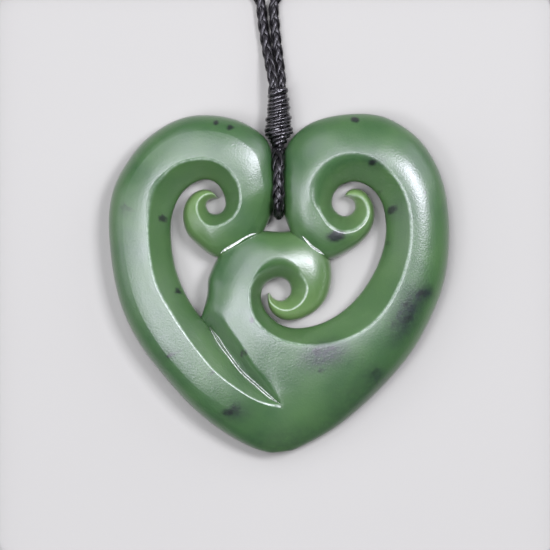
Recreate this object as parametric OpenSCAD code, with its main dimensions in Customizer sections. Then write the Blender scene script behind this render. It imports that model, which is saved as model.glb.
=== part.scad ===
// Heart pendant of carved green stone on a plaited neck cord.
// The heart lies on its flat back at z = 0, seen from +Z, with its point towards -Y.
// The origin is under the middle of the stone.

/* [Stone] */
// Width of the heart across both lobes
heart_w = 64; // [60:1:66]
// Thickness of the stone at its crests
heart_t = 9; // [8:0.5:10]
// Height of the widest line of the outer side, as a share of the crest
side_share = 0.4; // [0.35:0.01:0.45]
// Height of the inner edge of an opening, as a share of the crest
edge_share = 0.45; // [0.4:0.01:0.5]
// Fullness of a short slope from crest to side, where 2 is an ellipse
fullness = 2.15; // [2.05:0.05:2.6]
// How much less full the longest slope is, at the heart's point
evening = 0.6; // [0:0.1:0.7]
// Hollow of the inner bevel, where 1 is flat
bevel_hollow = 1.2; // [1:0.05:1.5]
// How far the rounding of the back reaches in from the outer side
back_round = 3; // [2:0.1:3.5]
// Chamfer where the walls of the openings meet the back
back_chamfer = 0.3; // [0.2:0.05:0.5]

/* [Carved lines] */
// Half width of an engraved line at its bottom
line_half_w = 0.1; // [0.05:0.05:0.2]
// Half width of the long groove's floor at its wide end
groove_half_w = 0.2; // [0.1:0.05:0.4]
// Steepness of the stem's flank beside the long groove
flank_slope = 1.35; // [1:0.05:1.8]

/* [Cord] */
// Diameter of the plaited cord
cord_d = 2; // [1.8:0.1:2]
// Largest radius of the whipping above the heart
whip_r = 2.65; // [2.55:0.05:2.7]
// Length of the wound joint behind the neck
knot_l = 8; // [6:0.5:10]
// Radius of that joint
knot_r = 1.5; // [1.4:0.05:1.65]

/* [Hidden] */

// The limbs of the stone are drawn on a grid of 340 units across the heart, centred on it,
// with y up. Their crests are drawn for a stone 9 mm thick.
unit = heart_w / 340;
rise = heart_t / 9;

// Each limb is a list of sections across it. The columns are the inner edge x, y, the ridge
// x, y, the outer side x, y and the crest height in millimetres. A section that starts part of
// the way down a slope has two more: the height of its inner edge as a share of the ridge's,
// and how far down the slope the ridge lies.
seam = [2, -40.6, 2, -55.2, 2, -169, 9];

// From the tip of the right spiral round the right lobe and down to the seam.
right_rows = [
    [66, 87.8, 65.8, 88.1, 66.2, 88.7, 3],
    [68.6, 87.2, 68.8, 88.8, 68, 92.2, 3.5],
    [71.6, 85.8, 73.5, 88.4, 73.6, 95.4, 4],
    [74.4, 83.1, 79.8, 87.2, 82.3, 94.2, 4.6],
    [76, 79.4, 85.4, 83.1, 90, 87.6, 5.2],
    [75.8, 75, 88.4, 75.5, 95, 76, 5.7],
    [73.4, 71.4, 87.6, 67, 94.8, 62.5, 6.1],
    [69.6, 68.8, 82, 58.8, 89, 49.5, 6.5],
    [65, 68.1, 73, 53.6, 78.5, 38.5, 6.9],
    [60.6, 69.5, 63, 52.6, 64.5, 30, 7.2],
    [56.6, 72.7, 53.6, 56.4, 46.5, 24.5, 7.5],
    [54.6, 75.6, 46.5, 63.4, 28.5, 34.5, 7.8],
    [53.4, 79.4, 41, 72.5, 17, 44, 8],
    [53.3, 83.5, 38.2, 80.5, 9.5, 57, 8.2],
    [54.4, 88.6, 37.6, 88.5, 5, 69, 8.4],
    [56.4, 92.6, 38.6, 96.5, 3.2, 80, 8.5],
    [59.2, 96.3, 41.8, 105, -2, 94, 8.6],
    [62.8, 99.1, 47.6, 113.2, -0.8, 112, 8.7],
    [67.2, 101.1, 56, 120.8, 6.4, 129.5, 8.8],
    [72, 102.3, 66, 125.3, 9.9, 144.2, 8.9],
    [77.4, 102.3, 76.8, 126.7, 29.5, 159.6, 9],
    [82.6, 101.2, 87.5, 125.6, 52, 167.4, 9],
    [87.6, 99, 97.5, 121.8, 78, 170.3, 9],
    [92.4, 95.7, 106.4, 115.8, 104, 167.4, 9],
    [96.8, 91.4, 114.2, 108.2, 125.5, 156.5, 9],
    [100.6, 86, 120.8, 98.8, 141.5, 143, 9],
    [103.8, 79, 126.2, 87.2, 154.5, 124.4, 9],
    [106, 69.4, 130, 73.5, 163.6, 103, 9],
    [107.1, 55.4, 131.6, 57, 168.8, 78, 9],
    [105.3, 39.6, 130.6, 37.5, 170.4, 50.5, 9],
    [100, 22.4, 125.8, 16, 168.6, 21, 9],
    [92.2, 6.4, 117.6, -5, 162.8, -6, 9],
    [82, -8.8, 106.2, -24.6, 152, -33, 9],
    [69.2, -22.6, 92, -40.4, 136, -63, 9],
    [55.8, -32.6, 75.8, -51, 115, -90, 9],
    [41.2, -39.8, 58, -57.4, 87.5, -118, 9],
    [26.6, -43.4, 39.6, -60.4, 55, -144.4, 9],
    [13.6, -44, 21.2, -60, 25.5, -160.6, 9],
    seam
];

// From the seam up the stem and round the middle spiral to its tip.
middle_rows = [
    seam,
    [-6.8, -34.6, -10.8, -48.4, -13, -141, 9],
    [-13.6, -26.8, -21.6, -38, -43, -118, 8.9],
    [-17.4, -18, -27.6, -25, -67, -94, 8.8],
    [-18, -11, -29.2, -12, -80, -68, 8.6],
    [-16.4, -4.8, -28, -1.6, -73.5, -19, 8.4],
    [-13, 0.4, -23.6, 7, -71.4, 2, 8.2],
    [-8.2, 3.8, -16.4, 14.6, -64.6, 20.4, 8],
    [-2.6, 5.8, -7.2, 19.6, -47, 43.5, 7.8],
    [2.8, 5.8, 2.4, 20.8, -21, 53, 7.6],
    [7.4, 3.6, 11.4, 18, 0, 52.4, 7.4],
    [10.4, 0, 19.2, 12.6, 21, 52.6, 7.1],
    [11.8, -4.6, 25, 5.2, 43, 41.6, 6.8],
    [11.2, -9.2, 28.2, -3.4, 52.3, 16, 6.5],
    [9.4, -12.2, 26.2, -13, 51.2, -3, 6.1],
    [5.6, -15.6, 21.2, -19.9, 46, -16.6, 5.7],
    [1.2, -16.6, 13.6, -25, 35.6, -27.8, 5.3],
    [-2.8, -15.6, 5.2, -26.3, 21.4, -35, 4.9],
    [-6, -13.6, -1.8, -23.8, 6.8, -36.2, 4.5],
    [-8, -11.4, -7, -19.8, -4.8, -30.6, 4],
    [-9.1, -9.8, -9.6, -15, -10.8, -20.6, 3.5],
    [-9.5, -8.9, -10.1, -9.6, -11.2, -10.6, 3]
];

// From the seam along the left side of the heart to the tip of the left spiral.
left_rows = [
    [-16, -107, -23, -115.6, -27, -163.5, 9, 0.71, 0.45],
    [-32.3, -93, -42.4, -103.8, -60, -145, 9, 0.6, 0.3],
    [-47, -75.6, -61.6, -89.2, -88.5, -121.5, 9, 0.53, 0.16],
    [-59.4, -59.6, -77.6, -71.4, -111.5, -96.2, 9, 0.49, 0.06],
    [-70.2, -44.2, -91.4, -53.2, -131.4, -71.5, 9, 0.46, 0],
    [-80.4, -30.4, -103.6, -34.8, -147.4, -45.6, 9],
    [-91.4, -14, -114.6, -16.8, -159.4, -16.5, 9],
    [-100.4, 6.5, -123.2, 1.6, -166.4, 16, 9],
    [-105.4, 24.5, -128.4, 24.5, -169.6, 45.5, 9],
    [-108.2, 46.5, -130.8, 50.5, -170, 69.5, 9],
    [-107.8, 63.5, -129.8, 75, -166.2, 92.5, 9],
    [-104.2, 78, -125.2, 95, -158, 111.5, 9],
    [-97.8, 90, -115.6, 107.8, -141.5, 136, 9],
    [-89.8, 97.8, -102.8, 118.4, -120, 154.5, 9],
    [-81.6, 102.6, -88.4, 123.4, -95, 166.4, 9],
    [-73.6, 104.4, -74.2, 124.6, -69.5, 168.8, 9],
    [-66.4, 103, -61.4, 121.4, -46.2, 165.2, 9],
    [-60.4, 98.6, -51, 114.2, -26, 155.6, 8.9],
    [-56.4, 92.4, -43.4, 104.2, -10.2, 143.5, 8.8],
    [-54.4, 87, -39.8, 95.4, -7.4, 124.5, 8.7],
    [-53.8, 83, -38.9, 88.6, -3, 109, 8.6],
    [-53.6, 79.6, -38.8, 82.6, 1, 96, 8.5],
    [-55.2, 74.8, -41.4, 73.2, -4.2, 79.5, 8.3],
    [-58.6, 71.4, -47, 65.6, -7.2, 65.5, 8.1],
    [-63, 70, -55, 60.2, -22, 44, 7.8],
    [-67.4, 70.6, -64.4, 57.2, -41, 31, 7.4],
    [-70.6, 73, -72.6, 58.8, -63, 26.5, 7],
    [-72.4, 76.4, -78.6, 64.6, -81, 39, 6.5],
    [-72.8, 79.6, -81.6, 71.4, -92, 51, 6],
    [-71.6, 82.6, -82, 78.6, -96.2, 67.5, 5.5],
    [-69, 84.6, -79, 85.2, -93.4, 81.2, 5],
    [-65.8, 85.6, -73.4, 89.2, -84.6, 91.6, 4.5],
    [-63, 85.8, -67.4, 90.2, -73.4, 94.8, 4],
    [-61.6, 85.6, -63.4, 88.6, -66, 91.4, 3.5],
    [-61, 85.4, -61.2, 86, -61.8, 86.4, 3]
];

// Where each spiral's tip closes, on the grid.
right_tip = [65, 88.2];
middle_tip = [-10, -8.4];
left_tip = [-60.6, 85.7];

// Engraved lines, as points [x, y, height of the bottom, half width there].
left_line = [
    [-64, 26, 4.9, line_half_w],
    [-53.3, 34.5, 5.5, line_half_w],
    [-44.4, 39.6, 5.9, line_half_w],
    [-34.2, 46, 6.2, line_half_w],
    [-25.2, 49.8, 5.9, line_half_w],
    [-18.5, 51.2, 5, line_half_w]
];
right_line = [
    [19.6, 48, 5.2, line_half_w],
    [25.8, 42.8, 5.4, line_half_w],
    [32.2, 37.7, 5.4, line_half_w],
    [38.6, 33.2, 5.2, line_half_w],
    [44.9, 29, 4.7, line_half_w]
];
long_groove = [
    [-69.5, -42.8, 3.8, groove_half_w],
    [-61.6, -54.6, 3.9, groove_half_w],
    [-55.5, -64, 4, groove_half_w * 0.8],
    [-49.2, -72.5, 4.2, groove_half_w * 0.65],
    [-43.2, -80.6, 4.4, groove_half_w * 0.6],
    [-35.8, -89.2, 4.7, groove_half_w * 0.6],
    [-26, -97.8, 4.9, groove_half_w * 0.6],
    [-18, -105, 5.2, groove_half_w * 0.55],
    [-9, -112.6, 6, groove_half_w * 0.45],
    [1.5, -119.8, 7, groove_half_w * 0.3]
];
wheel_h = 2.5;
wheel_spread = 0.7;

// Shares of the outer slope at which a section has a point. The left limb's ridge starts on
// the seam at slope[ridge_at], with its inner edge at slope[ridge_at - 1].
slope = [0.1, 0.22, 0.34, 0.46, 0.5606, 0.592, 0.68, 0.77, 0.85, 0.92, 0.97, 0.992, 1];
ridge_at = 5;
left_slope = [
    for (k = [ridge_at + 1:len(slope) - 1]) (slope[k] - slope[ridge_at]) / (1 - slope[ridge_at])
];
bevel = [0.35, 0.7];
underside = [30, 60, 90];
max_back_share = 0.45;
tip_share = 0.45;

// A slope is evened from the first length to the second one.
short_run = 9;
long_run = 20;

// Sections between two rows of a table.
steps = 2;

// The long groove follows the left limb's inner edge over its first sections, and the stem's
// flank climbs from there.
groove_rows = 6;
flank_reach = 6;
above = 12;

// The cord in millimetres. It leaves the whipping, goes over the valley between the lobes,
// down the hole and back up behind the stone, in a recess of its own.
whip_x = -0.1;
whip_low = 25.6;
whip_high = 36.9;
whip_z = 2.75;
recess_gap = 0.15;
hole_y = 13;
behind_z = 1.05;
turn_r = 2.95;
turn_step = 30;
loop_over = [[whip_low, 3.5], [24.9, 3.5], [23.7, 5], [22.5, 6.35], [20.9, 6.95], [18.5, 7]];
loop_path = concat(
    [for (p = loop_over) [whip_x, p[0], p[1]]],
    [for (a = [90:turn_step:270]) [whip_x, hole_y + turn_r * (1 + cos(a)), behind_z + turn_r * (1 + sin(a))]],
    [[whip_x, whip_low, behind_z]]
);

// The whipping's outline from its lower face up, as [height above it, radius].
whip_outline = [
    [0, 1.25],
    [0.9, 1.5],
    [1.9, 1.65],
    [2.3, 2],
    [2.9, whip_r - 0.15],
    [3.8, whip_r],
    [6.2, whip_r - 0.2],
    [9, whip_r - 0.5],
    [10.5, whip_r - 0.6],
    [whip_high - whip_low, whip_r - 0.75]
];

// The neck cord is two strands, laid as one loop round the heart on the surface.
neck_z = cord_d / 2;
corner_r = 4;
corner_steps = 3;
straight_step = 12;
far_left = -54.4;
far_right = 52.9;
far_top = 55.9;
far_bottom = -52.25;
knot_x = (far_left + far_right) / 2;
left_turn_x = -3.31;
right_turn_x = -1.06;
left_lead = [
    [-1.05, whip_high, 3.45],
    [-1.05, 37.9, 3.45],
    [-1.45, 40, 2.75],
    [-1.9, 42.2, 1.9],
    [-2.4, 45, 1.15],
    [-3, 48.8, neck_z]
];
right_lead = [
    [0.4, whip_high, 1.95],
    [0.4, 37.9, 1.95],
    [0.2, 40, 1.45],
    [-0.05, 42.2, 1.1],
    [-0.4, 45, neck_z],
    [-0.8, 48.8, neck_z]
];
tube_sides = 8;

function backwards(list) = [for (i = [len(list) - 1:-1:0]) list[i]];
function unit_of(v) = v / norm(v);
function along(a, b, t) = a + (b - a) * t;
function at(p, z) = [p.x, p.y, z];

// A point at most max_back_share of the way from a to b, at a distance if there is room.
function toward(a, b, distance) =
    norm(b - a) < 0.001 ? a : a + (b - a) * min(distance / norm(b - a), max_back_share);

// How full a section's slope is, from the whole run between crest and side.
function bulge(row) =
    let (run = norm([row[4] - row[2], row[5] - row[3]]) * unit / (1 - max(0, row[8])))
    fullness - evening * min(1, max(0, (run - short_run) / (long_run - short_run)));

// The slope's profile: 1 at the crest and 0 at the side.
function dome(t, full) = pow(max(0, 1 - pow(max(0, t), full)), 1 / full);
function slope_height(crest, t, full) = crest * (side_share + (1 - side_share) * dome(t, full));

// A smooth curve through whole rows at once, so each column is its own spline.
function whole(row) = len(row) > 7 ? row : concat(row, [edge_share, 0]);
function between(a, b, c, d, f) =
    b + (c - a) * f / 2 + (2 * a - 5 * b + 4 * c - d) * f * f / 2
    + (3 * b - a - 3 * c + d) * f * f * f / 2;
function sections(rows, before, after) =
    let (all = [for (row = concat([before], rows, [after])) whole(row)], n = len(rows))
    [
        for (i = [1:n - 1]) for (k = [0:steps - 1])
            between(all[i - 1], all[i], all[i + 1], all[i + 2], k / steps),
        all[n]
    ];
function beyond(rows) = 2 * whole(rows[len(rows) - 1]) - whole(rows[len(rows) - 2]);

// The seam's own section, or the one before it, as the left limb starts on it.
function left_start(row, share) =
    let (ridge_xy = [row[2], row[3]], outer_xy = [row[4], row[5]],
         inner = along(ridge_xy, outer_xy, slope[ridge_at - 1]),
         ridge = along(ridge_xy, outer_xy, slope[ridge_at]))
    [inner.x, inner.y, ridge.x, ridge.y, row[4], row[5], row[6], share, slope[ridge_at]];
seam_bulge = bulge(whole(seam));
seam_share = slope_height(1, slope[ridge_at - 1], seam_bulge) / slope_height(1, slope[ridge_at], seam_bulge);

// What the right limb's last section heads for: the stem's ridge and the left limb's side.
below_seam = right_rows[len(right_rows) - 2];
past_seam = [for (k = [0:6]) k == 4 || k == 5 ? left_rows[0][k] : middle_rows[1][k]];
left_all = concat([left_start(seam, seam_share)], left_rows);
right_sections = sections(right_rows, beyond(backwards(right_rows)), past_seam);
middle_sections = sections(middle_rows, below_seam, beyond(middle_rows));
left_sections = sections(left_all, left_start(below_seam, seam_share), beyond(left_all));

// The bottom of the groove: the left limb's inner edge.
valley = [
    for (k = [0:groove_rows * steps])
        let (row = left_sections[k])
        [row[0] * unit, row[1] * unit, slope_height(row[6] * rise, row[8], bulge(row)) * row[7]]
];

// One closed ring across a limb: up the inner wall, over bevel, ridge and slope, round the
// side and back under the stone.
function ring(row, shares) =
    let (inner = [row[0], row[1]] * unit, ridge = [row[2], row[3]] * unit,
         outer = [row[4], row[5]] * unit, crest = row[6] * rise, start = max(0, row[8]),
         side = crest * side_share, full = bulge(row), top = slope_height(crest, start, full),
         edge = top * row[7],
         reach = min(back_round, norm(outer - ridge) * max_back_share))
    concat(
        [at(toward(inner, outer, back_chamfer), 0), at(inner, min(back_chamfer, edge / 3)), at(inner, edge)],
        [for (f = bevel) at(along(inner, ridge, f), edge + (top - edge) * pow(f, bevel_hollow))],
        [at(ridge, top)],
        [
            for (t = shares)
                at(along(ridge, outer, t), slope_height(crest, start + (1 - start) * t, full))
        ],
        [for (a = underside) at(toward(outer, ridge, reach * (1 - cos(a))), side * (1 - sin(a)))]
    );
ridge_index = 3 + len(bevel);

// Skin between m rings of n points, each quad split along its shorter diagonal.
function skin(points, m, n) = [
    for (i = [0:m - 2]) for (j = [0:n - 1])
        let (a = i * n + j, b = i * n + (j + 1) % n, c = a + n, d = b + n)
        each norm(points[a] - points[d]) < norm(points[b] - points[c])
            ? [[a, b, d], [a, d, c]]
            : [[a, b, c], [b, d, c]]
];
function cap(first, n, turned) = [for (j = [0:n - 1]) turned ? first + n - 1 - j : first + j];

// A limb from its flat face on the seam to the tip where it closes on a point. One whose
// sections were drawn from the tip to the seam is turned.
module limb(rings, tip, turned = false) {
    n = len(rings[0]);
    m = len(rings);
    tip_z = rings[m - 1][ridge_index].z * tip_share;
    points = concat([for (r = rings) each r], [at(tip * unit, tip_z)]);
    end = [for (j = [0:n - 1]) [(m - 1) * n + j, (m - 1) * n + (j + 1) % n, m * n]];
    faces = concat(skin(points, m, n), [cap(0, n, true)], end);
    polyhedron(points = points, faces = turned ? [for (f = faces) backwards(f)] : faces, convexity = 10);
}

// A closed solid through rings, flat at both ends.
module swept(rings) {
    n = len(rings[0]);
    m = len(rings);
    points = [for (r = rings) each r];
    faces = concat(skin(points, m, n), [cap(0, n, true), cap((m - 1) * n, n, false)]);
    polyhedron(points = points, faces = faces, convexity = 10);
}

// What is cut away above the stem's flank: it climbs from the valley towards the stem, and
// drops on the other side, where the left limb fills it.
function flank_ring(k) =
    let (v = valley[k], a = valley[max(k - 1, 0)], b = valley[min(k + 1, len(valley) - 1)],
         n = unit_of([b.y - a.y, a.x - b.x]) * flank_reach,
         stem = [v.x, v.y] + n, limb = [v.x, v.y] - n, stem_z = v.z + flank_reach * flank_slope)
    [at(limb, v.z - flank_reach), v, at(stem, stem_z), at(stem, above), at(limb, above)];
module flank_cut() swept([for (k = [0:len(valley) - 1]) flank_ring(k)]);

// A line cut by a pointed wheel.
module engraved(line)
    for (k = [0:len(line) - 2])
        hull() for (p = [line[k], line[k + 1]])
            translate([p.x * unit, p.y * unit, p.z * rise])
                cylinder(h = wheel_h, r1 = p[3], r2 = p[3] + wheel_spread, $fn = 8);

// The recess in the back for the loop's back leg.
module cord_recess()
    hull() for (z = [behind_z, -cord_d])
        translate([whip_x, hole_y, z]) rotate([-90, 0, 0])
            cylinder(h = whip_low - hole_y, r = cord_d / 2 + recess_gap, $fn = 32);

module jade_heart() color("seagreen") difference() {
    union() {
        difference() {
            union() {
                limb([for (row = backwards(right_sections)) ring(row, slope)], right_tip, turned = true);
                limb([for (row = middle_sections) ring(row, slope)], middle_tip);
            }
            flank_cut();
        }
        limb([for (row = left_sections) ring(row, left_slope)], left_tip);
    }
    for (line = [left_line, right_line, long_groove]) engraved(line);
    cord_recess();
}

// A round tube along a path. Up is any direction that the path never takes.
function tube_ring(p, d, up) =
    let (u = unit_of(up - (up * d) * d), v = cross(u, d))
    [
        for (k = [0:tube_sides - 1])
            let (a = 360 * k / tube_sides) p + cord_d / 2 * (cos(a) * u + sin(a) * v)
    ];
module tube(path, up) {
    end = len(path) - 1;
    swept([
        for (k = [0:end])
            let (heading = path[min(k + 1, end)] - path[max(k - 1, 0)])
            tube_ring(path[k], unit_of(heading), up)
    ]);
}

// The neck cord's route: runs of points, joined by straight stretches.
function last(list) = list[len(list) - 1];
function straight(p, q) =
    let (parts = max(1, round(norm(q - p) / straight_step)))
    [for (k = [1:1:parts - 1]) p + (q - p) * k / parts];
function joined(runs) = [
    for (k = [0:len(runs) - 1]) each concat(k == 0 ? [] : straight(last(runs[k - 1]), runs[k][0]), runs[k])
];
function corner(x, y, a, b) = [
    for (k = [0:corner_steps])
        let (c = a + (b - a) * k / corner_steps)
        [x + corner_r * cos(c), y + corner_r * sin(c), neck_z]
];

// From the whipping to one face of the back joint: side is -1 to the left and 1 to the right.
function neck_path(lead, side, turn_x, far_x) =
    let (top = far_top - corner_r, low = far_bottom + corner_r, near_x = turn_x + side * corner_r,
         away_x = far_x - side * corner_r, out = side > 0 ? 0 : 180)
    joined([
        lead,
        corner(near_x, top, 180 - out, 90),
        corner(away_x, top, 90, out),
        corner(away_x, low, out, side > 0 ? -90 : 270),
        [[knot_x + side * knot_l / 2, far_bottom, neck_z]]
    ]);

module cord_loop() color("#1a1a1a") tube(loop_path, [1, 0, 0]);
module neck_cord_left() color("#1a1a1a") tube(neck_path(left_lead, -1, left_turn_x, far_left), [0, 0, 1]);
module neck_cord_right() color("#1a1a1a") tube(neck_path(right_lead, 1, right_turn_x, far_right), [0, 0, 1]);

// The outer shape of the wound thread.
module whipping() color("#1c1c1c")
    translate([whip_x, whip_low, whip_z]) rotate([-90, 0, 0]) rotate_extrude($fn = 48)
        polygon(concat(
            [[0, 0]],
            [for (p = whip_outline) [p[1], p[0]]],
            [[0, whip_high - whip_low]]
        ));

// The hidden joint behind the neck.
module back_knot() color("#1c1c1c")
    translate([knot_x - knot_l / 2, far_bottom, knot_r]) rotate([0, 90, 0])
        cylinder(h = knot_l, r = knot_r, $fn = 48);

jade_heart();
cord_loop();
whipping();
neck_cord_left();
neck_cord_right();
back_knot();
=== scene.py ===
"""Heart pendant of carved nephrite on a black waxed plaited cord, lying face up on a table.

The stone lies on its flat back at z = 0 with its point towards -Y. Sizes are in metres unless a
name or a docstring says otherwise.
"""
import logging
import math
from collections.abc import Callable, Sequence
from dataclasses import dataclass, field
from enum import Enum
from functools import partial

import bmesh
import bpy
from mathutils import Matrix, Vector, bvhtree, kdtree, noise


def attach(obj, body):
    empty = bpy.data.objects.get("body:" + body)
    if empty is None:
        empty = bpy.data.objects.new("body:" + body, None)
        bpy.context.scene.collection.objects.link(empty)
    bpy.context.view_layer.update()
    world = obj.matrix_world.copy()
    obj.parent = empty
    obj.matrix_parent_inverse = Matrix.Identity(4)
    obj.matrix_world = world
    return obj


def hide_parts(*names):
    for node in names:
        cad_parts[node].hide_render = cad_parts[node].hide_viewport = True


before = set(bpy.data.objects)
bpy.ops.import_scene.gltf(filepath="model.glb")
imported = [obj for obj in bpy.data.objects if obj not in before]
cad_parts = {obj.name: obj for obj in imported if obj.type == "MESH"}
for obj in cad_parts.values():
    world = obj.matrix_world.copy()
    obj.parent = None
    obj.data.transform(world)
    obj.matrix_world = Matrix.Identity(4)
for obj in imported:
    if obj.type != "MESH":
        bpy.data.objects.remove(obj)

LOG = logging.getLogger("heart_pendant")
MM = 0.001

# The stone is drawn on a grid of 340 units across its 64 mm, centred on it, with y up. A pixel of
# the photograph is one unit, so the camera is placed with the same scale.
HEART_WIDTH = 64 * MM
UNIT = HEART_WIDTH / 340
PHOTO_SIZE = 550
PHOTO_CENTRE = (-4.0, 9.0)

# A mix node's colour sockets go by number, because its other sockets have the same names.
FIRST, SECOND, MIXED = 6, 7, 2

# A section across a limb: inner edge x, y, ridge x, y, outer side x, y on the grid, then the crest
# height and the ridge's rounding in millimetres, left out where they are 9 and 0.4. A further
# number makes the slope fuller than by rule, and two more say how high the inner edge is as a share
# of the ridge, and how far down a full slope the ridge lies.
SEAM = (2, -40.6, 2, -55.2, 2, -169)

# Where the limbs' joins are eased, as boxes on the grid: middle x, half width, lowest and highest
# y, then the lowest height in millimetres and how many times it is smoothed.
EASED = (
    (2, 18, -108, -66, 5, 24), (2, 8.5, -180, -125, 0.5, 12),
)

# From the tip of the right spiral round the right lobe and down to the seam.
RIGHT_ROWS = (
    (66, 87.8, 65.8, 88.1, 66.2, 88.7, 3),
    (68.6, 87.2, 68.8, 88.8, 68, 92.2, 3.5),
    (71.6, 85.8, 73.5, 88.4, 73.6, 95.4, 4),
    (74.4, 83.1, 79.8, 87.2, 82.3, 94.2, 4.6),
    (76, 79.4, 85.4, 83.1, 90, 87.6, 5.2),
    (75.8, 75, 88.4, 75.5, 95, 76, 5.7),
    (73.4, 71.4, 87.6, 67, 94.8, 62.5, 6.1),
    (69.6, 68.8, 82, 58.8, 89, 49.5, 6.5),
    (65, 68.1, 73, 53.6, 78.5, 38.5, 6.9),
    (60.6, 69.5, 63, 52.6, 64.5, 30, 7.2),
    (56.6, 72.7, 53.6, 56.4, 46.5, 24.5, 7.5),
    (54.6, 75.6, 46.5, 63.4, 28.5, 34.5, 7.8),
    (53.4, 79.2, 41, 72.5, 17, 44, 8),
    (53.3, 83.5, 38.2, 80.5, 9.5, 57, 8.2, 0.9),
    (54.4, 88.6, 37.6, 88.5, 5.4, 69.5, 8.4, 1.4),
    (56.4, 92.6, 38.6, 96.5, 2.6, 82, 8.5, 1.8),
    (59.2, 96.3, 41.8, 105, 1.2, 96, 8.6, 2.0),
    (62.8, 99.1, 47.6, 113.2, 1.8, 112, 8.7, 2.0, -0.1),
    (67.2, 101.1, 56, 120.8, 4.6, 128.5, 8.8, 1.9, -0.25),
    (72, 102.3, 66, 125.3, 12.4, 145, 8.9, 1.8, -0.4),
    (77.4, 102.3, 76.8, 126.7, 29.5, 159.6, 9, 1.7, -0.45),
    (82.6, 101.2, 87.5, 125.6, 52, 167.4, 9, 1.4, -0.45),
    (87.6, 99, 97.5, 121.8, 78, 170.3, 9, 1.0, -0.4),
    (92.4, 95.7, 106.4, 115.8, 104, 167.4, 9, 0.7, -0.35),
    (96.8, 91.4, 114.2, 108.2, 125.5, 156.5, 9, 0.4, -0.25),
    (100.6, 86, 120.8, 98.8, 141.5, 143, 9, 0.4, -0.15),
    (103.8, 79, 126.2, 87.2, 154.5, 124.4, 9, 0.4, -0.1),
    (106, 69.4, 130, 73.5, 163.6, 103),
    (107.1, 55.4, 131.6, 57, 168.8, 78),
    (105.3, 39.6, 130.6, 37.5, 170.4, 50.5),
    (100, 22.4, 125.8, 16, 168.6, 21),
    (92.2, 6.4, 117.6, -5, 162.8, -6),
    (82, -8.8, 106.2, -24.6, 152, -33),
    (69.2, -22.6, 92, -40.4, 136, -63),
    (55.8, -32.6, 75.8, -51, 115, -90),
    (41.2, -39.8, 58, -57.4, 87.5, -118),
    (26.6, -43.4, 39.6, -60.4, 55, -144.4),
    (13.6, -44, 21.2, -60, 25.5, -160.6),
    SEAM,
)

# From the seam up the stem and round the middle spiral to its tip.
MIDDLE_ROWS = (
    SEAM,
    (-6.8, -34.6, -10.8, -48.4, -13, -141),
    (-13.6, -26.8, -21.6, -38, -43, -118, 8.9),
    (-17.4, -18, -27.6, -25, -67, -94, 8.8),
    (-18, -11, -29.2, -12, -85, -68, 8.6, 0.4, 0.2),
    (-16.4, -4.8, -28, -1.6, -73.5, -19, 8.4, 0.4, 0.45),
    (-13, 0.4, -23.6, 7, -71.4, 2, 8.2, 0.5, 0.45),
    (-8.2, 3.8, -16.4, 14.6, -64.6, 20.4, 8, 1.0, 0.3),
    (-2.6, 5.8, -7.2, 19.6, -47, 43.5, 7.8, 1.5),
    (2.8, 5.8, 2.4, 20.8, -21, 53, 7.6, 1.6),
    (7.4, 3.6, 11.4, 18, 0, 52.4, 7.4, 1.3),
    (10.4, 0, 19.2, 12.6, 21, 52.6, 7.1, 0.8),
    (11.8, -4.6, 25, 5.2, 43, 41.6, 6.8),
    (11.2, -9.2, 28.2, -3.4, 52.3, 16, 6.5),
    (9.4, -12.2, 26.2, -13, 51.2, -3, 6.1),
    (5.6, -15.6, 21.2, -19.9, 46, -16.6, 5.7),
    (1.2, -16.6, 13.6, -25, 35.6, -27.8, 5.3),
    (-2.8, -15.6, 5.2, -26.3, 21.4, -35, 4.9),
    (-6, -13.6, -1.8, -23.8, 6.8, -36.2, 4.5),
    (-8, -11.4, -7, -19.8, -4.8, -30.6, 4),
    (-9.1, -9.8, -9.6, -15, -10.8, -20.6, 3.5),
    (-9.5, -8.9, -10.1, -9.6, -11.2, -10.6, 3),
)

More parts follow.
